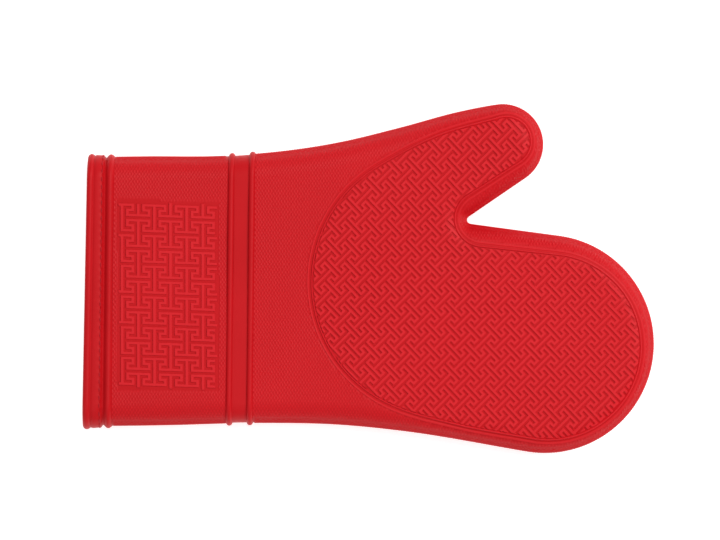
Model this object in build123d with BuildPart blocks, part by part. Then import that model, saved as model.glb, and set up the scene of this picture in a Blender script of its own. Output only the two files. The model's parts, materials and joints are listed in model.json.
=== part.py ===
"""A moulded silicone oven mitt with a padded cotton lining, lying on its back.

+X runs from the cuff to the fingertips, +Y towards the thumb, +Z up out of the palm side.
The origin is under the middle of the mitt. The mitt is cut into four sections at the lines
where it folds: cuff, palm, fingers and thumb.
"""
from build123d import *
import math
import os

# ---- Driving dimensions, in millimetres and degrees ---------------------------------------------
MOUTH_X, MOUTH_LEAN = -162.9, -0.5   # the open end of the cuff, and how far it is out of square
TAIL_X = -215.0                      # the blanks run out to here before they are trimmed
BEAD = 1.7                           # height of the ribs, the rolled rim and the back grip pad
GRIP = 0.7                           # height of the palm side's grip pad and the cuff patches
PALM_HEIGHT, PALM_SLOPE = 38.0, 0.030   # height of the palm side at the mouth, and its fall
ROUND_PALM, ROUND_BACK = 13.0, 12.0  # rounding of the sides

SHELL, WADDING, LINING = 2.0, 2.85, 0.85
SLACK = 0.15                         # between one layer and the next
LINING_START = 1.5                   # from the mouth to the edge of the lining
HEM_LENGTH, WADDING_START = 12.0, 14.0
SEAM_HEIGHT, SEAM_GAP = 18.0, 0.2    # where the two halves of the lining and wadding meet

# Plan outline: a hand section with a thumb
FINGER_CENTRE, FINGER_R = Vector(101.2, -37.5), 62.5
THUMB_CENTRE, THUMB_R = Vector(75.7, 77.0), 23.0
CROTCH_R = 2.6
FINGER_TOP_SLOPE, FINGER_LOW_SLOPE = -7.0, -8.8
THUMB_TOP_SLOPE, THUMB_LOW_SLOPE = 9.0, 34.7
LOW_EDGE = (TAIL_X, -88.2), (-63.0, -84.3), (-16.0, -84.9), (19.0, -88.0)
HIGH_EDGE = (TAIL_X, 66.0, 1.1), (-81.0, 68.5, 1.1), (-18.0, 77.0, 12.0), (17.0, 85.9, 15.0), (51.2, 95.5, 15.0)

# Grip pad: the same outline, held back from the edge, ending in a round heel
PAD_HEEL_CENTRE, PAD_HEEL_R = Vector(43.8, -2.5), 77.3
PAD_FINGER_CENTRE, PAD_FINGER_R = Vector(102.7, -39.0), 53.4
PAD_THUMB_CENTRE, PAD_THUMB_R = Vector(77.3, 78.5), 14.4
PAD_CROTCH_CENTRE, PAD_CROTCH_R = Vector(64.0, 34.0), 15.5

# Cuff: three ribs round it, and a patch between the first two
RIB_XS, RIB_WIDTH = (-149.2, -79.9, -68.1), 3.4
RIM_WIDTH = 3.6
PATCH_X, PATCH_Y = (-145.0, -88.0), (-63.5, 40.7)
STITCH_X, STITCH_PITCH = -154.3, 4.6
STITCH_LENGTH, STITCH_WIDTH, STITCH_HEIGHT, STITCH_LIFT = 2.8, 0.9, 0.5, 0.02

# Fold lines
FOLD_GAP = 0.6
WRIST_X, KNUCKLE_X = -48.5, 86.0
THUMB_FOLD, THUMB_ANGLE = Vector(56.6, 32.7), 28.0   # from the crotch, square to the thumb's way
THUMB_FOLD_LENGTH = 100.0            # reaches past the outline
FAR = 260.0                          # clear of the mitt in plan


def along(degrees):
    return Vector(math.cos(math.radians(degrees)), math.sin(math.radians(degrees)))


def round_end(centre, radius, start, end):
    """The arc round a fingertip or thumb tip, between two directions."""
    ends = [centre + radius * along(angle) for angle in (start, (start + end) / 2, end)]
    return ThreePointArc(*ends)


def plan(inset):
    """The outline of the mitt from above, moved in by an inset."""
    moved_in = [Vector(x, y) + inset * along(slope - 90) for x, y, slope in HIGH_EDGE]
    moved_up = [Vector(x, y + inset) for x, y in LOW_EDGE]
    with BuildSketch() as sketch:
        with BuildLine():
            low = Line(moved_up[0], moved_up[1])
            finger_tip = round_end(FINGER_CENTRE, FINGER_R - inset, FINGER_LOW_SLOPE - 90, FINGER_TOP_SLOPE + 90)
            Spline(*moved_up[1:], finger_tip @ 0, tangents=(low % 1, finger_tip % 0))
            thumb_tip = round_end(THUMB_CENTRE, THUMB_R - inset, THUMB_LOW_SLOPE - 90, THUMB_TOP_SLOPE + 90)
            crotch = meeting_point(finger_tip @ 1, finger_tip % 1, thumb_tip @ 0, thumb_tip % 0)
            Line(finger_tip @ 1, crotch)
            Line(crotch, thumb_tip @ 0)
            high = Line(moved_in[0], moved_in[1])
            Spline(thumb_tip @ 1, *reversed(moved_in[1:]), tangents=(thumb_tip % 1, -1 * (high % 0)))
            Line(low @ 0, high @ 0)
        make_face()
        fillet(sketch.vertices().sort_by_distance(crotch)[0], CROTCH_R + inset)
    return sketch.sketch


def meeting_point(start, run, other, other_run):
    """Where two lines in plan cross."""
    across = run.X * other_run.Y - run.Y * other_run.X
    away = other - start
    return start + run * ((away.X * other_run.Y - away.Y * other_run.X) / across)


def palm_plane(inset):
    """The palm side, which falls towards the fingertips."""
    return Plane(origin=(MOUTH_X, 0, PALM_HEIGHT - inset), x_dir=(1, 0, -PALM_SLOPE), z_dir=(PALM_SLOPE, 0, 1))


def blank(inset):
    """The whole mitt as one closed solid, moved in on every side."""
    with BuildPart() as solid:
        with BuildSketch(Plane.XY.offset(BEAD + inset)):
            add(plan(inset))
        extrude(amount=2 * PALM_HEIGHT)
        split(bisect_by=palm_plane(inset), keep=Keep.BOTTOM)
        palm_face, back_face = solid.faces().sort_by(Axis.Z)[-1], solid.faces().sort_by(Axis.Z)[0]
        for face, radius in ((palm_face, ROUND_PALM), (back_face, ROUND_BACK)):
            fillet(face.edges().sort_by(Axis.X)[1:], radius - inset)
    return solid.part


def past_mouth(start):
    """Everything from a distance inside the mouth to beyond the fingertips."""
    with BuildPart() as room:
        with BuildSketch(Plane.XY.offset(-FAR)):
            with Locations(Location((MOUTH_X + start, 0, 0), (0, 0, MOUTH_LEAN))):
                Rectangle(2 * FAR, 2 * FAR, align=(Align.MIN, Align.CENTER))
        extrude(amount=2 * FAR)
    return room.part


def grip_outline():
    """The grip pad from above."""
    heel = (14.0, -73.6), (-33.5, -2.5), (2.0, 64.5)
    with BuildSketch() as sketch:
        with BuildLine():
            heel_arc = ThreePointArc(*heel)
            thumb_tip = round_end(PAD_THUMB_CENTRE, PAD_THUMB_R, 106.8, -57.5)
            Spline(heel_arc @ 1, thumb_tip @ 0, tangents=(heel_arc % 1, thumb_tip % 0))
            crotch = round_end(PAD_CROTCH_CENTRE, PAD_CROTCH_R, 122.5, 264.4)
            Line(thumb_tip @ 1, crotch @ 0)
            finger_tip = round_end(PAD_FINGER_CENTRE, PAD_FINGER_R, 84.4, -100.0)
            Line(crotch @ 1, finger_tip @ 0)
            Spline(finger_tip @ 1, heel_arc @ 0, tangents=(finger_tip % 1, heel_arc % 0))
        make_face()
    return sketch.sketch


def patch_outline():
    """The patch on the cuff from above."""
    with BuildSketch() as sketch:
        with Locations((sum(PATCH_X) / 2, sum(PATCH_Y) / 2)):
            Rectangle(PATCH_X[1] - PATCH_X[0], PATCH_Y[1] - PATCH_Y[0])
    return sketch.sketch


# ---- Blanks, from the outside in ----------------------------------------------------------------
bead_blank, grip_blank, shell_blank = blank(-BEAD), blank(-GRIP), blank(0)
shell_cavity = blank(SHELL)
wadding_blank, wadding_cavity = blank(SHELL + SLACK), blank(SHELL + SLACK + WADDING)
lining_inset = SHELL + 2 * SLACK + WADDING
lining_blank, hand_space = blank(lining_inset), blank(lining_inset + LINING)

# ---- Shell: one moulding, with ribs, a rolled rim and raised grip areas on both sides ------------
with BuildPart() as bead_zones:
    for rib_x in RIB_XS:
        with Locations((rib_x, 0, 0)):
            Box(RIB_WIDTH, 2 * FAR, 2 * FAR)
    with Locations(Location((MOUTH_X, 0, 0), (0, 0, MOUTH_LEAN))):
        Box(RIM_WIDTH, 2 * FAR, 2 * FAR, align=(Align.MIN, Align.CENTER, Align.CENTER))
    with BuildSketch():
        add(grip_outline())
    extrude(amount=SEAM_HEIGHT)

with BuildPart() as beads:
    add(bead_blank)
    add(bead_zones.part, mode=Mode.INTERSECT)

with BuildPart() as grip_zones:
    with BuildSketch():
        add(grip_outline())
        add(patch_outline())
    extrude(amount=2 * PALM_HEIGHT)

with BuildPart() as grips:
    add(grip_blank)
    add(grip_zones.part, mode=Mode.INTERSECT)

with BuildPart() as whole_shell:
    add(shell_blank)
    add(beads.part)
    add(grips.part)
    add(shell_cavity, mode=Mode.SUBTRACT)
    add(past_mouth(0), mode=Mode.INTERSECT)

# ---- Soft layers: wadding and a cotton lining, each with a palm half and a back half -------------
with BuildPart() as whole_wadding:
    add(wadding_blank)
    add(wadding_cavity, mode=Mode.SUBTRACT)
    add(past_mouth(WADDING_START), mode=Mode.INTERSECT)

with BuildPart() as whole_lining:
    add(lining_blank)
    add(hand_space, mode=Mode.SUBTRACT)
    add(past_mouth(LINING_START), mode=Mode.INTERSECT)

# ---- Sections: the mitt's plan, divided at the fold lines ---------------------------------------
gap_slope = (THUMB_LOW_SLOPE + FINGER_TOP_SLOPE) / 2
gap_line = [THUMB_FOLD, THUMB_FOLD + FAR * along(gap_slope)]
knuckle_y = THUMB_FOLD.Y + (KNUCKLE_X - THUMB_FOLD.X) * math.tan(math.radians(gap_slope))
fold_ends = [THUMB_FOLD, THUMB_FOLD + THUMB_FOLD_LENGTH * along(THUMB_ANGLE + 90)]
half_gap = FOLD_GAP / 2 * along(THUMB_ANGLE)
palm_side = [end - half_gap for end in fold_ends]
thumb_side = [end + half_gap for end in fold_ends]
wrist_low, wrist_high = WRIST_X - FOLD_GAP / 2, WRIST_X + FOLD_GAP / 2
knuckle_low, knuckle_high = KNUCKLE_X - FOLD_GAP / 2, KNUCKLE_X + FOLD_GAP / 2

SECTIONS = {
    "cuff": [(-FAR, -FAR), (wrist_low, -FAR), (wrist_low, FAR), (-FAR, FAR)],
    "palm": [(wrist_high, -FAR), (knuckle_low, -FAR), (knuckle_low, knuckle_y),
             palm_side[0], palm_side[1], (wrist_high, FAR)],
    "fingers": [(knuckle_high, -FAR), (2 * FAR, -FAR), gap_line[1], (knuckle_high, knuckle_y)],
    "thumb": [thumb_side[0], gap_line[1], (FAR, FAR), thumb_side[1]],
}


def cut_piece(whole, section, label, low=-FAR, high=FAR):
    """One piece: a layer inside one section, between two heights."""
    with BuildPart() as piece:
        with BuildSketch(Plane.XY.offset(low)):
            with BuildLine():
                Polyline(*SECTIONS[section], close=True)
            make_face()
        extrude(amount=high - low)
        add(whole, mode=Mode.INTERSECT)
    piece.part.label = label
    export_step(piece.part, f"parts/{label}.step")


os.makedirs("parts", exist_ok=True)

halves = {"palm_side": (SEAM_HEIGHT + SEAM_GAP / 2, FAR), "back_side": (-FAR, SEAM_HEIGHT - SEAM_GAP / 2)}
for section in SECTIONS:
    cut_piece(whole_shell.part, section, f"shell_{section}")
    for half, (low, high) in halves.items():
        cut_piece(whole_wadding.part, section, f"wadding_{section}_{half}", low, high)
        cut_piece(whole_lining.part, section, f"lining_{section}_{half}", low, high)

# ---- Hem: the lining's edge, turned back behind the rim ------------------------------------------
with BuildPart() as lining_hem:
    add(wadding_blank)
    add(wadding_cavity, mode=Mode.SUBTRACT)
    add(past_mouth(LINING_START), mode=Mode.INTERSECT)
    add(past_mouth(LINING_START + HEM_LENGTH), mode=Mode.SUBTRACT)
lining_hem.part.label = "lining_hem"
export_step(lining_hem.part, "parts/lining_hem.step")

# ---- Rim stitching: a row of stitches round the band, through the shell and the hem --------------
section_cut = shell_blank.intersect(Plane.YZ.offset(STITCH_X))
row = section_cut.faces()[0].outer_wire()
stitch_count = round(row.length / STITCH_PITCH)
with BuildPart() as rim_stitching:
    for k in range(stitch_count):
        place = row @ (k / stitch_count)
        run = row % (k / stitch_count)
        outward = run.cross(Vector(1, 0, 0))
        with Locations(Plane(origin=place + outward * STITCH_LIFT, x_dir=run, z_dir=outward)):
            Box(STITCH_LENGTH, STITCH_WIDTH, STITCH_HEIGHT, align=(Align.CENTER, Align.CENTER, Align.MIN))
rim_stitching.part.label = "rim_stitching"
export_step(rim_stitching.part, "parts/rim_stitching.step")
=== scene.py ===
import json
import math

import bmesh
import bpy
import numpy as np
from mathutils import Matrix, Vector


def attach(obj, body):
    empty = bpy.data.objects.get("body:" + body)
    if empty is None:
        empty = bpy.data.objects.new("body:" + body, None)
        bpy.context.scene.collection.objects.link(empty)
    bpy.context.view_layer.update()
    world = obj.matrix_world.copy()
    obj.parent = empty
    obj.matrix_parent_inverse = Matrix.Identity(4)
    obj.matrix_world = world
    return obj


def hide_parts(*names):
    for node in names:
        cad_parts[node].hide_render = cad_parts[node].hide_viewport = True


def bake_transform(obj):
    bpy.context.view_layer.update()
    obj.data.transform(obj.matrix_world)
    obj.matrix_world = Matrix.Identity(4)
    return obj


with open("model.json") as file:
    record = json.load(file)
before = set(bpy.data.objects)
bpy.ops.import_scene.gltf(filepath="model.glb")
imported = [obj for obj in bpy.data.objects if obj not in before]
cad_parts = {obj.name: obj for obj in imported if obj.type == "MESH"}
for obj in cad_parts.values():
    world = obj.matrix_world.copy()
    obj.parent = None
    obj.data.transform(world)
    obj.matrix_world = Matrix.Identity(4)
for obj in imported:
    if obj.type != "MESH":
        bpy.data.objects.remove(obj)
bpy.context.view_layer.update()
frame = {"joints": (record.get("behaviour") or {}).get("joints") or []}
bpy.ops.object.select_all(action="DESELECT")

# ---- Skin wall --------------------------------------------------------------------------------
# The outside of the mitt is one moulding of silicone rubber, 2 mm thick. Its plain wall is made
# here: flat palm and back, rounded over to the sides, soft enough that no face is quite flat.
# Everything raised on it is made in the next sections and joined to it.

mm = 0.001
mouth_x, mouth_lean = -162.9 * mm, -0.5
tail_x = mouth_x - 30 * mm
finger_centre, finger_r = np.array([101.2, -37.5]) * mm, 62.5 * mm
thumb_centre, thumb_r = np.array([75.7, 77.0]) * mm, 23.0 * mm
finger_top_slope, finger_low_slope = -7.0, -8.8
thumb_top_slope, thumb_low_slope = 9.0, 34.7
crotch_r = 2.6 * mm
palm_height, palm_slope = 37.6 * mm, 0.030
cuff_lift, hand_lift = 1.7 * mm, 0.75 * mm
rounding = {1: 13 * mm, -1: 12 * mm}
wrist_x, knuckle_x = frame["joints"][0]["pos_m"][0], frame["joints"][1]["pos_m"][0]
thumb_root, thumb_way = np.array(frame["joints"][2]["pos_m"][:2]), 28.0
palm_cut_x = -5 * mm


def along(degrees):
    return np.array([math.cos(math.radians(degrees)), math.sin(math.radians(degrees))])


def round_end(centre, radius, start, end, step=2.2 * mm):
    """Points on an arc, without its last one."""
    count = max(2, math.ceil(math.radians(abs(end - start)) * radius / step))
    turns = np.radians(np.linspace(start, end, count, endpoint=False))
    return centre + radius * np.stack([np.cos(turns), np.sin(turns)], 1)


def smooth_edge(places, first_slope, last_slope, step=2.2 * mm):
    """Points on a smooth line through a few places, without its last one."""
    x, y = np.array(places, float).T
    slopes = np.gradient(y, x)
    slopes[0], slopes[-1] = math.tan(math.radians(first_slope)), math.tan(math.radians(last_slope))
    rows = []
    for k in range(len(x) - 1):
        run = x[k + 1] - x[k]
        t = np.linspace(0, 1, max(2, math.ceil(abs(run) / step)), endpoint=False)
        rise = (2 * t**3 - 3 * t**2 + 1) * y[k] + (3 * t**2 - 2 * t**3) * y[k + 1]
        rise += run * ((t**3 - 2 * t**2 + t) * slopes[k] + (t**3 - t**2) * slopes[k + 1])
        rows.append(np.stack([x[k] + t * run, rise], 1))
    return np.concatenate(rows)


def crossing(start, slope, other, other_slope):
    """Where two straight edges meet."""
    turn = np.array([along(slope), -along(other_slope)]).T
    return start + along(slope) * np.linalg.solve(turn, other - start)[0]


def mitt_edge():
    """The outline of the mitt from above, counter-clockwise."""
    finger_turns = (finger_low_slope - 90, finger_top_slope + 90)
    thumb_turns = (thumb_low_slope - 90, thumb_top_slope + 90)
    finger_ends = [finger_centre + finger_r * along(turn) for turn in finger_turns]
    thumb_ends = [thumb_centre + thumb_r * along(turn) for turn in thumb_turns]
    crotch = crossing(finger_ends[1], finger_top_slope, thumb_ends[0], thumb_low_slope)
    half_gap = (thumb_low_slope - finger_top_slope) / 2
    gap_way = (thumb_low_slope + finger_top_slope) / 2
    crotch_centre = crotch + along(gap_way) * crotch_r / math.sin(math.radians(half_gap))
    crotch_arc = round_end(crotch_centre, crotch_r, finger_top_slope + 270, thumb_low_slope + 90, 0.7 * mm)
    low_places = [(tail_x, -87.8 * mm), (-115 * mm, -86.1 * mm), (-63 * mm, -84.3 * mm),
                  (-16 * mm, -84.9 * mm), (19 * mm, -88.0 * mm)]
    high_places = [(51.2 * mm, 95.5 * mm), (17 * mm, 85.9 * mm), (-18 * mm, 77.0 * mm), (-81 * mm, 68.6 * mm),
                   (-130 * mm, 67.6 * mm), (tail_x, 66.0 * mm)]
    return np.concatenate([
        smooth_edge(low_places + [finger_ends[0]], 1.5, finger_low_slope),
        round_end(finger_centre, finger_r, *finger_turns),
        smooth_edge([finger_ends[1], crotch_arc[0]], finger_top_slope, finger_top_slope),
        crotch_arc,
        smooth_edge([crotch_arc[-1], thumb_ends[0]], thumb_low_slope, thumb_low_slope)[1:],
        round_end(thumb_centre, thumb_r, *thumb_turns),
        smooth_edge([thumb_ends[1]] + high_places, thumb_top_slope, 1.1),
        np.array([[tail_x, 66.0 * mm]]),
    ])


def depth_inside(flat, edge):
    """How far points lie inside a closed outline, and the shortest way out of it."""
    after = np.roll(edge, -1, 0)
    run = after - edge
    depths, ways = [], []
    for some in np.array_split(flat, max(1, len(flat) // 4000)):
        gap = some[:, None] - edge
        share = np.clip((gap * run).sum(2) / (run**2).sum(1), 0, 1)
        away = edge + share[:, :, None] * run - some[:, None]
        near = (away**2).sum(2).argmin(1)
        rows = np.arange(len(some))
        step = away[rows, near]
        length = np.maximum(np.hypot(*step.T), 1e-9)
        side = np.sign(run[near, 0] * gap[rows, near, 1] - run[near, 1] * gap[rows, near, 0])
        side[side == 0] = 1
        across = np.stack([run[near, 1], -run[near, 0]], 1)
        across /= np.hypot(*across.T)[:, None]
        depths.append(length * side)
        ways.append(np.where((length > 1e-6)[:, None], step / length[:, None] * side[:, None], across))
    return np.concatenate(depths), np.concatenate(ways)


def ease(share):
    share = np.clip(share, 0, 1)
    return share * share * (3 - 2 * share)


def level(flat, side):
    """Height of the flat part of the palm side or of the back."""
    x, y = flat.T
    if side < 0:
        return cuff_lift + (hand_lift - cuff_lift) * ease((x + 66 * mm) / (30 * mm))
    soft = 0.35 * mm * np.sin(x / (29 * mm) + 0.6) * np.sin(y / (24 * mm) + 1.1)
    soft += 0.2 * mm * np.sin(x / (13 * mm) - y / (17 * mm))
    return palm_height - palm_slope * (x - mouth_x) + soft


def points_of(piece):
    spots = np.empty(len(piece.data.vertices) * 3)
    piece.data.vertices.foreach_get("co", spots)
    return spots.reshape(-1, 3)


def move_points(piece, spots):
    piece.data.vertices.foreach_set("co", np.ascontiguousarray(spots).ravel())
    piece.data.update()


def lay_on(piece, side, sink=0.0):
    """Wraps a flat piece, whose z is its height, round the palm side or the back of the mitt."""
    spots = points_of(piece)
    flat = spots[:, :2]
    depth, out = depth_inside(flat, edge)
    lean = np.clip((rounding[side] - depth) / rounding[side], 0, 1)
    upright = np.sqrt(1 - lean**2)
    low = level(flat, side) - side * rounding[side] * (1 - upright)
    normal = np.column_stack([out * lean[:, None], side * upright])
    move_points(piece, np.column_stack([flat, low]) + normal * (spots[:, 2] - sink)[:, None])
    if side < 0:
        edit(piece)
        bpy.ops.mesh.flip_normals()
        bpy.ops.object.mode_set(mode="OBJECT")


def edit(piece):
    bpy.ops.object.select_all(action="DESELECT")
    piece.select_set(True)
    bpy.context.view_layer.objects.active = piece
    bpy.ops.object.mode_set(mode="EDIT")
    bpy.ops.mesh.select_mode(type="FACE")
    bpy.ops.mesh.select_all(action="SELECT")


def hoop(name, rows, merge=0.001 * mm):
    """A closed strip of faces through rows of points. Its outside is on the right of each row."""
    bpy.ops.mesh.primitive_grid_add(x_subdivisions=len(rows[0]), y_subdivisions=len(rows) - 1)
    piece = bpy.context.object
    piece.name = name
    move_points(piece, np.concatenate([np.concatenate([row, row[:1]]) for row in rows]))
    edit(piece)
    bpy.ops.mesh.remove_doubles(threshold=merge)
    bpy.ops.object.mode_set(mode="OBJECT")
    return piece


def ringed(name, outline, rows):
    """A strip of rings round an outline. Each row is a distance in from it and a height."""
    run = np.roll(outline, -1, 0) - np.roll(outline, 1, 0)
    out = np.stack([run[:, 1], -run[:, 0]], 1) / np.hypot(*run.T)[:, None]
    return hoop(name, [np.column_stack([outline - out * distance, np.full(len(outline), height)])
                       for distance, height in rows])


def join(name, pieces):
    bpy.ops.object.select_all(action="DESELECT")
    for piece in pieces:
        piece.select_set(True)
    bpy.context.view_layer.objects.active = pieces[0]
    bpy.ops.object.join()
    pieces[0].name = name
    return pieces[0]


def cut_lines():
    """Where the wall gets edges to bend on: close together at the folds, wide apart elsewhere."""
    fold_reach, close_step, wide_step = 26 * mm, 2.8 * mm, 7 * mm
    lines = []
    x = tail_x + 5 * mm
    while x < 160 * mm:
        lines.append((np.array([x, 0]), along(0)))
        near_fold = min(abs(x - wrist_x), abs(x - knuckle_x)) < fold_reach
        x += close_step if near_fold else wide_step
    for y in np.arange(-90, 95, 8.5):
        lines.append((np.array([0, y * mm]), along(90)))
    for step in np.arange(2.5, 32, 3):
        lines.append((thumb_root + step * mm * along(thumb_way), along(thumb_way)))
    return lines


def flat_half(side):
    """The flat pattern of one side, with rings of edges for its rounding and lines to bend on."""
    turns = np.radians(np.linspace(90, 0, 10))
    half = ringed("flat_half", edge, [(rounding[side] * (1 - math.sin(turn)), 0) for turn in turns])
    inner = depth_inside(points_of(half)[:, :2], edge)[0] > rounding[side] * 0.995
    edit(half)
    bpy.ops.mesh.select_mode(type="VERT")
    bpy.ops.mesh.select_all(action="DESELECT")
    bpy.ops.object.mode_set(mode="OBJECT")
    half.data.vertices.foreach_set("select", inner)
    bpy.ops.object.mode_set(mode="EDIT")
    bpy.ops.mesh.edge_face_add()
    bpy.ops.mesh.select_all(action="SELECT")
    bpy.ops.mesh.normals_make_consistent(inside=False)
    if max(half.data.polygons, key=lambda face: face.area).normal.z < 0:
        bpy.ops.mesh.flip_normals()
    for place, way in cut_lines():
        bpy.ops.mesh.select_all(action="SELECT")
        bpy.ops.mesh.bisect(plane_co=(*place, 0), plane_no=(*way, 0))
    bpy.ops.object.mode_set(mode="OBJECT")
    return half


def side_wall(name, sink):
    """The upright wall between the palm side's rounding and the back's."""
    flat = edge - depth_inside(edge, edge)[1] * sink
    high, low = level(edge, 1) - rounding[1], level(edge, -1) + rounding[-1]
    shares = np.linspace(0, 1, 6)
    return hoop(name, [np.column_stack([flat, low + (high - low) * share]) for share in shares])


def bag(name, sink, inside_out=False):
    """A closed bag of the mitt's shape, sunk below the outside by a distance."""
    halves = []
    for side in (1, -1):
        half = flat_halves[side].copy()
        half.data = flat_halves[side].data.copy()
        bpy.context.collection.objects.link(half)
        lay_on(half, side, sink)
        halves.append(half)
    whole = join(name, halves + [side_wall(name, sink)])
    edit(whole)
    bpy.ops.mesh.remove_doubles(threshold=0.02 * mm)
    bpy.ops.object.mode_set(mode="OBJECT")
    if inside_out:
        edit(whole)
        bpy.ops.mesh.flip_normals()
        bpy.ops.object.mode_set(mode="OBJECT")
    return whole


def open_mouth(piece, start):
    """Cuts a bag open across the cuff, at a distance from the mouth."""
    edit(piece)
    lean = (*along(mouth_lean), 0)
    bpy.ops.mesh.bisect(plane_co=(mouth_x + start, 0, 0), plane_no=lean, clear_inner=True)
    bpy.ops.object.mode_set(mode="OBJECT")


edge = mitt_edge()
flat_halves = {side: flat_half(side) for side in (1, -1)}
wall_thickness, wall_start, inside_start = 2 * mm, 16 * mm, 8.5 * mm
wall = bag("skin_wall", 0)
open_mouth(wall, wall_start)
inside = bag("skin_inside", wall_thickness, inside_out=True)
open_mouth(inside, inside_start)

# ---- Rim and ribs -----------------------------------------------------------------------------
# The mouth ends in a rolled rim and a flat band that the lining is sewn to, with a dimple for
# each stitch. A groove parts the band from the first of three half-round ribs. All are moulded
# in one with the skin and run right round the cuff.

stitch_count, stitch_pitch = 80, 4
columns = stitch_pitch * stitch_count
clearance, lean_fade, dimple_depth = 0.05 * mm, 12 * mm, 0.7 * mm
rib_xs, rib_half, rib_height = (-149.2 * mm, -79.9 * mm, -68.1 * mm), 1.8 * mm, 1.7 * mm


def girth(x):
    """Points and outward directions round the cuff at a distance along it, evenly spaced."""
    highs, lows = edge[edge[:, 1] > 0], edge[edge[:, 1] < -60 * mm]
    high_y, low_y = (np.interp(x, *half[half[:, 0].argsort()].T) for half in (highs, lows))
    spots, ways = [], []
    for side, first, end_y in ((1, 0, high_y), (1, 90, low_y), (-1, 180, low_y), (-1, 270, high_y)):
        radius = rounding[side]
        across = end_y - radius if end_y > 0 else end_y + radius
        height = level(np.array([[x, across]]), side)[0] - side * radius
        for turn in np.radians(np.linspace(first, first + 90, 13)):
            spots.append((across + radius * math.cos(turn), height + radius * math.sin(turn)))
            ways.append((math.cos(turn), math.sin(turn)))
    spots, ways = np.array(spots + spots[:1]), np.array(ways + ways[:1])
    walked = np.concatenate([[0], np.cumsum(np.hypot(*np.diff(spots, axis=0).T))])
    where = np.linspace(0, walked[-1], columns, endpoint=False)
    spots = np.column_stack([np.interp(where, walked, v) for v in spots.T])
    ways = np.column_stack([np.interp(where, walked, v) for v in ways.T])
    return spots, ways / np.hypot(*ways.T)[:, None]


def girdle(name, rows, start, lean=0.0, dimples=()):
    """A band round the cuff. Each row is a distance along the cuff and a height off the wall."""
    spots = []
    for number, (run, height) in enumerate(rows):
        ring, out = girth(start + run)
        high = np.full(columns, height)
        if number in dimples:
            high[::stitch_pitch] -= dimple_depth
        ring = ring + out * high[:, None]
        ring[:, 1] = np.maximum(ring[:, 1], clearance)
        fade = max(0, 1 - max(run, 0) / lean_fade)
        x = start + run - ring[:, 0] * math.tan(math.radians(lean)) * fade
        spots.append(np.column_stack([x, ring]))
    piece = hoop(name, spots, 0.01 * mm)
    edit(piece)
    bpy.ops.mesh.normals_make_consistent(inside=False)
    bpy.ops.object.mode_set(mode="OBJECT")
    return piece


def half_round(half, height, steps=8):
    turns = np.linspace(0, math.pi, steps + 1)
    return [(-half * math.cos(turn), height * (1.12 * math.sin(turn) - 0.12)) for turn in turns]


rim_rows = [(9.0, -2.0), (3.0, -2.0), (1.2, -1.9), (0.3, -1.3), (0.0, -0.4), (0.0, 0.6), (0.4, 1.4),
            (1.1, 1.95), (2.0, 2.2), (2.8, 2.05), (3.4, 1.6), (3.8, 1.15), (4.2, 1.1), (4.6, 1.3),
            (5.2, 1.5), (6.8, 1.4), (8.3, 1.3), (9.0, 1.25), (9.5, 1.1), (9.85, 0.7), (10.15, 0.15),
            (10.5, -0.2), (10.95, -0.2), (11.4, 0.1), (11.9, 0.7), (12.6, 1.35), (13.3, 1.7),
            (14.1, 1.7), (14.9, 1.2), (15.6, 0.5), (16.1, -0.1)]
dimple_rows = (17,)
rim_shape = [(run * mm, height * mm) for run, height in rim_rows]
rim = girdle("skin_rim", rim_shape, mouth_x, mouth_lean, dimple_rows)
ribs = [girdle("skin_rib", half_round(rib_half, rib_height), x) for x in rib_xs[1:]]

# ---- Grip pads --------------------------------------------------------------------------------
# The palm side and the back each have a grip pad: a fret of interlocking bars, turned 45 degrees
# so that it grips both ways, inside a bead and a groove that follow the mitt's outline.

pad_heel, pad_heel_r = np.array([43.8, -2.5]) * mm, 77.3 * mm
pad_finger, pad_finger_r = np.array([102.7, -39.0]) * mm, 53.4 * mm
pad_thumb, pad_thumb_r = np.array([77.3, 78.5]) * mm, 14.4 * mm
pad_crotch, pad_crotch_r = np.array([64.0, 34.0]) * mm, 15.5 * mm
fret_pitch, fret_groove, fret_height, fret_bevel = 2.737 * mm, 1.22 * mm, 0.75 * mm, 0.22 * mm
fret_home, fret_margin, bar_end = np.array([29.45, -47.1]) * mm, 0.6 * mm, 1.2 * mm
bar_root = 0.3 * mm
fret_ways = np.array([along(-45), along(45)]) * (0.989, 1.013)


def pad_edge():
    """The outline of a grip pad, counter-clockwise."""
    heel_low = pad_heel + pad_heel_r * along(-112.7)
    heel_high = pad_heel + pad_heel_r * along(-237.7)
    finger_low = pad_finger + pad_finger_r * along(-100)
    finger_high = pad_finger + pad_finger_r * along(84.4)
    thumb_low = pad_thumb + pad_thumb_r * along(-57.5)
    thumb_high = pad_thumb + pad_thumb_r * along(106.8)
    crotch_low = pad_crotch + pad_crotch_r * along(264.4)
    crotch_high = pad_crotch + pad_crotch_r * along(122.5)
    return np.concatenate([
        smooth_edge([heel_low, (50 * mm, -83.9 * mm), finger_low], -22.7, -10),
        round_end(pad_finger, pad_finger_r, -100, 84.4),
        smooth_edge([finger_high, crotch_low], -5.6, -5.6),
        round_end(pad_crotch, pad_crotch_r, 264.4, 122.5, 1.5 * mm),
        smooth_edge([crotch_high, thumb_low], 32.5, 32.5),
        round_end(pad_thumb, pad_thumb_r, -57.5, 106.8, 1.5 * mm),
        smooth_edge([thumb_high, (38 * mm, 81.6 * mm), heel_high], 16.8, 32.3),
        round_end(pad_heel, pad_heel_r, 122.3, 247.3),
    ])


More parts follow.
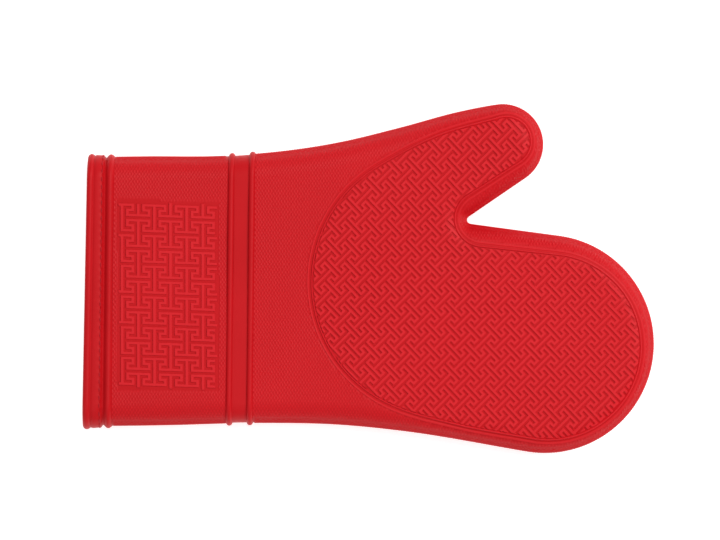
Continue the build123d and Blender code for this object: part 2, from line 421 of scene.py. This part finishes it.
def fret_is_groove(i, j):
    """True where the fret's grid of half steps is a groove. Even numbers are grid lines."""
    a, b = np.asarray(i), np.asarray(j)
    groove = np.zeros(np.broadcast(a, b).shape, bool)
    for shift_i, shift_j in ((0, 0), (6, 6)):
        u = (a - shift_i) % 12
        v = (b - shift_j + 6) % 12 - 6
        bars = ((u == 0) | (u == 2)) & (abs(v) <= 4)
        ends = ((u >= 10) | (u == 0) | ((u >= 2) & (u <= 4))) & (abs(v) == 4)
        long_bar = (u >= 2) & (v == 0)
        groove |= bars | ends | long_bar
    return groove


def fret(name, home, ways, pitches, groove, height, reach, keep):
    """Raised bars: the grid cells between the fret's grooves, lifted and given sloped sides."""
    across, up = reach
    bpy.ops.mesh.primitive_grid_add(x_subdivisions=2 * across, y_subdivisions=2 * up)
    piece = bpy.context.object
    piece.name = name
    i = np.arange(2 * across + 1) - across // 2 * 2
    j = np.arange(2 * up + 1) - up // 2 * 2
    x = (i // 2) * pitches[0] + np.where(i % 2 == 0, -groove / 2, groove / 2)
    y = (j // 2) * pitches[1] + np.where(j % 2 == 0, -groove / 2, groove / 2)
    grid = np.stack(np.meshgrid(x, y), -1).reshape(-1, 2)
    flat = home + grid @ ways
    move_points(piece, np.column_stack([flat, np.full(len(flat), -bar_root)]))
    raised = ~fret_is_groove(*np.meshgrid(i[:-1], j[:-1])).ravel()
    centres = np.array([face.center[:2] for face in piece.data.polygons])
    raised &= keep(centres)
    shape = bmesh.new()
    shape.from_mesh(piece.data)
    low_faces = [face for face, is_raised in zip(shape.faces, raised) if not is_raised]
    bmesh.ops.delete(shape, geom=low_faces, context="FACES")
    shape.to_mesh(piece.data)
    shape.free()
    edit(piece)
    rise = (0, 0, height + bar_root - fret_bevel)
    bpy.ops.mesh.extrude_region_move(TRANSFORM_OT_translate={"value": rise})
    bpy.ops.mesh.inset(thickness=fret_bevel, depth=fret_bevel)
    bpy.ops.object.mode_set(mode="OBJECT")
    return piece


def hold_inside(piece, outline, margin):
    """Draws in what reaches past a line inside an outline, so that bars end on that line."""
    spots = points_of(piece)
    depth, out = depth_inside(spots[:, :2], outline)
    spots[:, :2] -= out * np.clip(margin - depth, 0, None)[:, None]
    move_points(piece, spots)


def pad_border(name):
    """The lip, groove and bead round a grip pad, as one strip."""
    lips = [(-2.6, -0.05), (-2.5, 0.2), (-2.4, 0.4), (-1.7, 0.45), (-1.5, 0.35), (-1.3, 0.05),
            (-1.1, -0.06), (-0.35, -0.06), (-0.2, 0.2), (-0.05, 0.55), (0.15, 0.75), (0.4, 0.75),
            (0.6, 0.55), (0.75, 0.2), (0.9, -0.1)]
    return ringed(name, pad_outline, [(distance * mm, height * mm) for distance, height in lips])


def note_relief(piece):
    """Keeps each point's height off the wall, from 0 to 1, for the material to read: it paints the low places
    darker, as painted shade.
    """
    relief = piece.data.attributes.new("relief", "FLOAT", "POINT")
    relief.data.foreach_set("value", np.clip(points_of(piece)[:, 2] / relief_top, 0, 1))


relief_top = 0.6 * mm
pad_outline = pad_edge()
pads = []
for side in (1, -1):
    bars = fret("skin_fret", fret_home, fret_ways, (fret_pitch, fret_pitch), fret_groove, fret_height,
                (100, 100), lambda spots: depth_inside(spots, pad_outline)[0] > fret_margin)
    hold_inside(bars, pad_outline, bar_end)
    border = pad_border("skin_pad_border")
    for piece in (bars, border):
        note_relief(piece)
        lay_on(piece, side)
        pads.append(piece)

# ---- Cuff patches -----------------------------------------------------------------------------
# The same fret, upright and a little larger, in a patch on each side of the cuff. It is moulded
# in one with the skin too, and stands a little lower than the pads.

patch_home, patch_pitches = np.array([-134.33, 23.6]) * mm, np.array([3.078, 2.925]) * mm
patch_ways = np.array([along(-1.3), along(90.7)])
patch_groove, patch_height = 1.25 * mm, 0.55 * mm
patch_low, patch_high = np.array([-3, -30]) * patch_pitches, np.array([15, 6]) * patch_pitches


def in_patch(flat, margin=0.0):
    spots = (flat - patch_home) @ np.linalg.inv(patch_ways)
    return ((spots > patch_low - margin) & (spots < patch_high + margin)).all(1)


patches = []
for side in (1, -1):
    bars = fret("skin_patch", patch_home, patch_ways, patch_pitches, patch_groove, patch_height,
                (60, 80), in_patch)
    note_relief(bars)
    lay_on(bars, side)
    patches.append(bars)

# ---- Knurling ---------------------------------------------------------------------------------
# The rest of the skin, but for the rim and the plain band at the wrist, is covered with small
# raised diamonds, set in staggered rows.

knurl_x, knurl_y = 1.85 * mm / 2, 3.0 * mm / 2
knurl_height, knurl_floor, knurl_sink, knurl_root = 0.44 * mm, 0.1 * mm, 0.05 * mm, 0.1 * mm
fade_start, fade_width = 1.5 * mm, 2.0 * mm
rim_gap, rib_gap, patch_gap, pad_gap = 1.6 * mm, 1.4 * mm, 0.9 * mm, 1.9 * mm


def off_the_ribs(x):
    return (x < rib_xs[1] - rib_gap) | (x > rib_xs[2] + rib_gap)


def knurled(flat):
    """True at places on the palm side or the back that have knurling."""
    clear = (flat[:, 0] > rib_xs[0] + rim_gap) & off_the_ribs(flat[:, 0])
    near_pad = depth_inside(flat, pad_outline)[0] >= -pad_gap
    return clear & ~in_patch(flat, patch_gap) & ~near_pad


def knurl_heights(number, share):
    """A peak at every even number. All of it sinks under the wall as the share goes to 0."""
    return np.where(number % 2 == 0, knurl_height, knurl_floor) * share - knurl_sink * (1 - share)


def trim(piece, keep):
    """Deletes the faces not kept, sinks the edge that this leaves and splits faces into peaks."""
    shape = bmesh.new()
    shape.from_mesh(piece.data)
    others = [face for face, is_kept in zip(shape.faces, keep) if not is_kept]
    bmesh.ops.delete(shape, geom=others, context="FACES")
    for vert in shape.verts:
        if vert.is_boundary:
            vert.co.z = -knurl_root
    for face in list(shape.faces):
        first, second, third, fourth = face.verts
        low_pair = (first, third) if first.co.z + third.co.z < second.co.z + fourth.co.z else (second, fourth)
        bmesh.utils.face_split(face, *low_pair)
    shape.to_mesh(piece.data)
    shape.free()


knurls = []
for side in (1, -1):
    low, high = edge.min(0), edge.max(0)
    counts = [int((high[k] - low[k]) / (knurl_x, knurl_y)[k]) + 1 for k in (0, 1)]
    bpy.ops.mesh.primitive_grid_add(x_subdivisions=counts[0], y_subdivisions=counts[1])
    sheet = bpy.context.object
    sheet.name = "skin_knurl"
    j, i = np.divmod(np.arange((counts[0] + 1) * (counts[1] + 1)), counts[0] + 1)
    flat = np.column_stack([low[0] + i * knurl_x, low[1] + j * knurl_y])
    share = ease((depth_inside(flat, edge)[0] - fade_start) / fade_width)
    move_points(sheet, np.column_stack([flat, knurl_heights(i + j, share)]))
    centres = np.array([face.center[:2] for face in sheet.data.polygons])
    trim(sheet, knurled(centres) & (depth_inside(centres, edge)[0] > fade_start - 0.5 * mm))
    note_relief(sheet)
    lay_on(sheet, side)
    knurls.append(sheet)


def side_rows():
    """Places down the side: over the palm side's rounding, then under round the back's."""
    rows = []
    for side, count in ((1, 12), (-1, 11)):
        leans = np.radians(np.linspace(45, 90, count))
        rows.append([(side, lean) for lean in (leans if side > 0 else leans[::-1])])
    return rows


def walk_round(start_x, spacing):
    """Evenly spaced points round the outline, from the cuff to the cuff, and the ways out of it."""
    ahead = edge[edge[:, 0] > start_x]
    walked = np.concatenate([[0], np.cumsum(np.hypot(*np.diff(ahead, axis=0).T))])
    where = np.linspace(0, walked[-1], int(walked[-1] / spacing))
    spots = np.column_stack([np.interp(where, walked, v) for v in ahead.T])
    run = np.gradient(spots, axis=0)
    return spots, np.column_stack([run[:, 1], -run[:, 0]]) / np.hypot(*run.T)[:, None]


round_spots, round_out = walk_round(rib_xs[0] + rim_gap, knurl_y)
palm_rows, back_rows = side_rows()
wall_count = 8
places = []
for side, lean in palm_rows + back_rows:
    flat = round_spots - round_out * rounding[side] * (1 - math.sin(lean))
    high = level(flat, side) - side * rounding[side] * (1 - math.cos(lean))
    normal = np.column_stack([round_out * math.sin(lean), np.full(len(flat), side * math.cos(lean))])
    places.append((np.column_stack([flat, high]), normal))
top, low = places[len(palm_rows) - 1], places[len(palm_rows)]
wall_shares = np.linspace(0, 1, wall_count + 2)[1:-1]
between = [(top[0] + (low[0] - top[0]) * share, top[1]) for share in wall_shares]
places[len(palm_rows):len(palm_rows)] = between
row_count, column_count = len(places), len(round_spots)
bpy.ops.mesh.primitive_grid_add(x_subdivisions=column_count - 1, y_subdivisions=row_count - 1)
side_sheet = bpy.context.object
side_sheet.name = "skin_knurl"
row, column = np.divmod(np.arange(row_count * column_count), column_count)
depths = np.array([rounding[side] * (1 - math.sin(lean)) for side, lean in palm_rows]
                  + [0] * wall_count + [rounding[side] * (1 - math.sin(lean)) for side, lean in back_rows])
share = 1 - ease((depths[row] - fade_start) / fade_width)
move_points(side_sheet, np.column_stack([column, row, knurl_heights(row + column, share)]))
face_columns = [min(int(face.center[0]), column_count - 1) for face in side_sheet.data.polygons]
trim(side_sheet, off_the_ribs(round_spots[face_columns, 0]))
note_relief(side_sheet)
spots = points_of(side_sheet)
column, row = np.rint(spots[:, 0]).astype(int), np.rint(spots[:, 1]).astype(int)
bases, normals = np.array([place[0] for place in places]), np.array([place[1] for place in places])
move_points(side_sheet, bases[row, column] + normals[row, column] * spots[:, 2:])
edit(side_sheet)
bpy.ops.mesh.normals_make_consistent(inside=False)
bpy.ops.object.mode_set(mode="OBJECT")
knurls.append(side_sheet)

# ---- Skin: joined, then parted at the folds -----------------------------------------------------
# One moulding. It bends at the wrist, the knuckles and the thumb, so it is parted in the stiff
# middle of the palm into three pieces: a cuff, a hand and a thumb.

silicone = bpy.data.materials.new("silicone")
silicone.use_nodes = True
nodes, links = silicone.node_tree.nodes, silicone.node_tree.links
shader = nodes["Principled BSDF"]
place = nodes.new("ShaderNodeTexCoord")
cloud = nodes.new("ShaderNodeTexNoise")
cloud.inputs["Scale"].default_value = 22
cloud.inputs["Detail"].default_value = 4
links.new(place.outputs["Object"], cloud.inputs["Vector"])
tint = nodes.new("ShaderNodeValToRGB")
tint.color_ramp.elements[0].position, tint.color_ramp.elements[1].position = 0.3, 0.7
tint.color_ramp.elements[0].color = (0.475, 0.0036, 0.0068, 1)
tint.color_ramp.elements[1].color = (0.515, 0.0046, 0.0086, 1)
links.new(cloud.outputs["Fac"], tint.inputs["Fac"])
# Painted shade and light: the relief attribute mixes from the darker red, low on the wall in the grooves and
# between bars and diamonds, to a lighter red on raised tops, standing in for the shade in the grooves.
relief = nodes.new("ShaderNodeAttribute")
relief.attribute_name = "relief"
painted_shade_mix = nodes.new("ShaderNodeMix")
painted_shade_mix.data_type = "RGBA"
mix_factor, mix_low, mix_high = painted_shade_mix.inputs[0], painted_shade_mix.inputs[6], painted_shade_mix.inputs[7]
mix_high.default_value = (0.605, 0.0125, 0.0185, 1)
links.new(relief.outputs["Fac"], mix_factor)
links.new(tint.outputs["Color"], mix_low)
links.new(painted_shade_mix.outputs[2], shader.inputs["Base Color"])
grain = nodes.new("ShaderNodeTexNoise")
grain.inputs["Scale"].default_value = 1400
grain.inputs["Detail"].default_value = 3
links.new(place.outputs["Object"], grain.inputs["Vector"])
sheen_map = nodes.new("ShaderNodeMapRange")
sheen_map.inputs["To Min"].default_value, sheen_map.inputs["To Max"].default_value = 0.42, 0.56
links.new(grain.outputs["Fac"], sheen_map.inputs["Value"])
links.new(sheen_map.outputs["Result"], shader.inputs["Roughness"])
shader.inputs["Specular IOR Level"].default_value = 0.13
bump = nodes.new("ShaderNodeBump")
bump.inputs["Strength"].default_value = 0.12
bump.inputs["Distance"].default_value = 0.0002
links.new(grain.outputs["Fac"], bump.inputs["Height"])
links.new(bump.outputs["Normal"], shader.inputs["Normal"])

gap_way = (thumb_low_slope + finger_top_slope) / 2


def coat(piece, paint):
    piece.data.materials.clear()
    piece.data.materials.append(paint)


def part_at_folds(whole, names):
    """Parts a bag into a cuff, a hand and a thumb piece along planes in the stiff palm."""
    cuts = (((palm_cut_x, 0), along(0)), (thumb_root, along(thumb_way)),
            (thumb_root, along(gap_way + 90)))
    edit(whole)
    for spot, way in cuts:
        bpy.ops.mesh.select_all(action="SELECT")
        bpy.ops.mesh.bisect(plane_co=(*spot, 0), plane_no=(*way, 0), threshold=0.0)
    bpy.ops.object.mode_set(mode="OBJECT")
    centres = np.array([face.center[:2] for face in whole.data.polygons])
    away = centres - thumb_root
    in_thumb = (away @ along(thumb_way) > 0) & (away @ along(gap_way + 90) > 0)
    in_cuff = centres[:, 0] < palm_cut_x
    pieces = [whole]
    for chosen in (in_thumb, in_cuff):
        edit(whole)
        bpy.ops.mesh.select_all(action="DESELECT")
        bpy.ops.object.mode_set(mode="OBJECT")
        chosen_now = chosen if len(pieces) == 1 else chosen[~in_thumb]
        whole.data.polygons.foreach_set("select", chosen_now)
        bpy.ops.object.mode_set(mode="EDIT")
        bpy.ops.mesh.separate(type="SELECTED")
        bpy.ops.object.mode_set(mode="OBJECT")
        pieces.append([piece for piece in bpy.context.selected_objects if piece != whole][0])
    hand, thumb, cuff = pieces
    hand.name, thumb.name, cuff.name = names
    return hand, thumb, cuff


def bend_at_folds(hand, thumb, cuff):
    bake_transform(hand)
    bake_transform(thumb)
    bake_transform(cuff)


skin = join("skin", [wall, inside, rim] + ribs + pads + patches + knurls)
bpy.ops.object.shade_smooth_by_angle(angle=math.radians(38))
coat(skin, silicone)
skin_pieces = part_at_folds(skin, ("skin_hand", "skin_thumb", "skin_cuff"))
bend_at_folds(*skin_pieces)
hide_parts("shell_palm", "shell_fingers")
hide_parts("shell_thumb")
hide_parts("shell_cuff")

# ---- Wadding ----------------------------------------------------------------------------------
# A layer of polyester wadding lies between the skin and the lining all round. It is sewn to
# neither: the two hold it in place. It stops short of the mouth.

wadding_sink, wadding_thickness, wadding_start = 2.3 * mm, 2.6 * mm, 14 * mm
fluff = bpy.data.materials.new("wadding")
fluff.use_nodes = True
nodes, links = fluff.node_tree.nodes, fluff.node_tree.links
shader = nodes["Principled BSDF"]
place = nodes.new("ShaderNodeTexCoord")
fibre = nodes.new("ShaderNodeTexNoise")
fibre.inputs["Scale"].default_value = 380
fibre.inputs["Detail"].default_value = 6
fibre.inputs["Distortion"].default_value = 1.6
links.new(place.outputs["Object"], fibre.inputs["Vector"])
shade = nodes.new("ShaderNodeValToRGB")
shade.color_ramp.elements[0].color = (0.70, 0.69, 0.66, 1)
shade.color_ramp.elements[1].color = (0.88, 0.87, 0.84, 1)
links.new(fibre.outputs["Fac"], shade.inputs["Fac"])
links.new(shade.outputs["Color"], shader.inputs["Base Color"])
bump = nodes.new("ShaderNodeBump")
bump.inputs["Strength"].default_value = 0.6
bump.inputs["Distance"].default_value = 0.0006
links.new(fibre.outputs["Fac"], bump.inputs["Height"])
links.new(bump.outputs["Normal"], shader.inputs["Normal"])
shader.inputs["Roughness"].default_value = 0.95
shader.inputs["Specular IOR Level"].default_value = 0.1


def soft_layer(name, sink, start, thickness, paint):
    """A double-walled bag of cloth or wadding, parted as the skin is."""
    walls = [bag(name, sink), bag(name, sink + thickness, inside_out=True)]
    for wall in walls:
        open_mouth(wall, start)
    layer = join(name, walls)
    bpy.ops.object.shade_smooth_by_angle(angle=math.radians(50))
    coat(layer, paint)
    pieces = part_at_folds(layer, [f"{name}_{part}" for part in ("hand", "thumb", "cuff")])
    for piece, parts in zip(pieces, (("palm", "fingers"), ("thumb",), ("cuff",))):
        sides = [f"{name}_{part}_{side}" for part in parts for side in ("palm_side", "back_side")]
        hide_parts(*sides)
    bend_at_folds(*pieces)
    return pieces


wadding = soft_layer("wadding", wadding_sink, wadding_start, wadding_thickness, fluff)

# ---- Lining -----------------------------------------------------------------------------------
# A bag of plain woven cotton, cut and sewn to the mitt's shape, that the hand goes in. Its open
# edge is turned back between the skin and the wadding to make a hem, and sewn there to the rim.

lining_sink, lining_thickness, lining_start = 5.25 * mm, 0.5 * mm, 11 * mm
cotton = bpy.data.materials.new("lining_cotton")
cotton.use_nodes = True
nodes, links = cotton.node_tree.nodes, cotton.node_tree.links
shader = nodes["Principled BSDF"]
place = nodes.new("ShaderNodeTexCoord")
weave = nodes.new("ShaderNodeMath")
weave.operation = "ADD"
for number, way in enumerate(("X", "DIAGONAL")):
    threads = nodes.new("ShaderNodeTexWave")
    threads.bands_direction = way
    threads.inputs["Scale"].default_value = 300
    threads.inputs["Distortion"].default_value = 0.6
    threads.inputs["Detail"].default_value = 2
    links.new(place.outputs["Object"], threads.inputs["Vector"])
    links.new(threads.outputs["Fac"], weave.inputs[number])
shade = nodes.new("ShaderNodeValToRGB")
shade.color_ramp.elements[0].position = 0.2
shade.color_ramp.elements[0].color = (0.55, 0.52, 0.46, 1)
shade.color_ramp.elements[1].color = (0.80, 0.77, 0.70, 1)
links.new(weave.outputs["Value"], shade.inputs["Fac"])
links.new(shade.outputs["Color"], shader.inputs["Base Color"])
bump = nodes.new("ShaderNodeBump")
bump.inputs["Strength"].default_value = 0.5
bump.inputs["Distance"].default_value = 0.0003
links.new(weave.outputs["Value"], bump.inputs["Height"])
links.new(bump.outputs["Normal"], shader.inputs["Normal"])
shader.inputs["Roughness"].default_value = 0.9
shader.inputs["Specular IOR Level"].default_value = 0.15

lining = soft_layer("lining", lining_sink, lining_start, lining_thickness, cotton)
for piece in lining:
    reach = np.ptp(points_of(piece), axis=0)

for half in flat_halves.values():
    bpy.data.objects.remove(half)

hem_rows = [(13.0, -2.25), (2.6, -2.25), (1.9, -2.6), (1.6, -3.4), (1.8, -4.3), (2.6, -5.0), (11.0, -5.15),
            (13.0, -5.15), (13.0, -2.25)]
hem = girdle("lining_hem_fold", [(run * mm, height * mm) for run, height in hem_rows], mouth_x, mouth_lean)
bpy.ops.object.shade_smooth_by_angle(angle=math.radians(50))
coat(hem, cotton)
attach(hem, "cuff")
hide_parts("lining_hem")

# ---- Rim stitching ----------------------------------------------------------------------------
# A row of red thread stitches round the band of the rim, one between each pair of dimples. They
# go through the skin and the hem and hold the lining in.

stitch_run, stitch_lift, stitch_size = 9.0 * mm, 1.2 * mm, np.array([1.35, 0.4, 0.3]) * mm
thread = bpy.data.materials.new("thread")
thread.use_nodes = True
nodes, links = thread.node_tree.nodes, thread.node_tree.links
shader = nodes["Principled BSDF"]
place = nodes.new("ShaderNodeTexCoord")
twist = nodes.new("ShaderNodeTexWave")
twist.bands_direction = "DIAGONAL"
twist.inputs["Scale"].default_value = 700
links.new(place.outputs["Object"], twist.inputs["Vector"])
shade = nodes.new("ShaderNodeValToRGB")
shade.color_ramp.elements[0].color = (0.30, 0.004, 0.009, 1)
shade.color_ramp.elements[1].color = (0.46, 0.007, 0.014, 1)
links.new(twist.outputs["Fac"], shade.inputs["Fac"])
links.new(shade.outputs["Color"], shader.inputs["Base Color"])
shader.inputs["Roughness"].default_value = 0.7
shader.inputs["Specular IOR Level"].default_value = 0.2

bpy.ops.object.select_all(action="DESELECT")
bpy.ops.mesh.primitive_uv_sphere_add(segments=8, ring_count=6, radius=1)
one = bpy.context.object
shape_of_one = points_of(one)[:, [2, 0, 1]] * stitch_size
ring, out = girth(mouth_x + stitch_run)
run = np.roll(ring, -1, 0) - np.roll(ring, 1, 0)
run /= np.hypot(*run.T)[:, None]
stitches = []
for k in range(stitch_count):
    column = stitch_pitch * k + stitch_pitch // 2
    middle = ring[column] + out[column] * stitch_lift
    fade = 1 - stitch_run / lean_fade
    x = mouth_x + stitch_run - middle[0] * math.tan(math.radians(mouth_lean)) * fade
    axes = np.array([[0, *run[column]], [1, 0, 0], [0, *out[column]]])
    stitch = one.copy()
    stitch.data = one.data.copy()
    bpy.context.collection.objects.link(stitch)
    spots = shape_of_one @ axes + [x, *middle]
    spots[:, 2] = np.maximum(spots[:, 2], clearance)
    move_points(stitch, spots)
    stitches.append(stitch)
bpy.data.objects.remove(one)
rim_stitches = join("rim_stitches", stitches)
edit(rim_stitches)
bpy.ops.mesh.normals_make_consistent(inside=False)
bpy.ops.object.mode_set(mode="OBJECT")
bpy.ops.object.shade_smooth()
coat(rim_stitches, thread)
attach(rim_stitches, "cuff")
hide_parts("rim_stitching")

# ---- Floor, light and camera ------------------------------------------------------------------
# A plain white surface, which glows a little so that it stays white, a broad soft light from the
# thumb side and fingertips, a weaker one across from it, and a camera straight above.

bpy.ops.mesh.primitive_plane_add(size=6)
floor = bpy.context.object
floor.name = "floor"
floor_paint = bpy.data.materials.new("white_surface")
floor_paint.use_nodes = True
shader = floor_paint.node_tree.nodes["Principled BSDF"]
shader.inputs["Base Color"].default_value = (0.93, 0.93, 0.93, 1)
shader.inputs["Roughness"].default_value = 0.9
shader.inputs["Emission Color"].default_value = (1, 1, 1, 1)
shader.inputs["Emission Strength"].default_value = 0.55
floor.data.materials.append(floor_paint)

world = bpy.data.worlds.new("studio")
bpy.context.scene.world = world
world.use_nodes = True
sky = world.node_tree.nodes["Background"]
sky.inputs["Color"].default_value = (1, 1, 1, 1)
sky.inputs["Strength"].default_value = 0.5


def soft_box(name, place, size, power):
    bpy.ops.object.light_add(type="AREA", location=place)
    lamp = bpy.context.object
    lamp.name = name
    lamp.data.size = size
    lamp.data.energy = power
    lamp.rotation_euler = (-Vector(place)).to_track_quat("-Z", "Y").to_euler()
    return lamp


soft_box("key_light", (0.95, 0.55, 1.5), 1.0, 24)
soft_box("fill_light", (-0.4, -0.8, 1.9), 1.4, 8)

camera_data = bpy.data.cameras.new("camera")
camera = bpy.data.objects.new("camera", camera_data)
bpy.context.scene.collection.objects.link(camera)
bpy.context.scene.camera = camera
camera_turn, view_width, camera_rise = math.radians(0.6123), 0.414, 3.0
mitt_middle, sensor = 0.02, 36
camera.location = (-5.7 * mm, 3.9 * mm, camera_rise)
camera.rotation_euler = (0, 0, camera_turn)
camera_data.sensor_width = sensor
camera_data.lens = sensor * (camera_rise - mitt_middle) / view_width
camera_data.clip_end = 20
bpy.context.scene.view_settings.view_transform = "Standard"
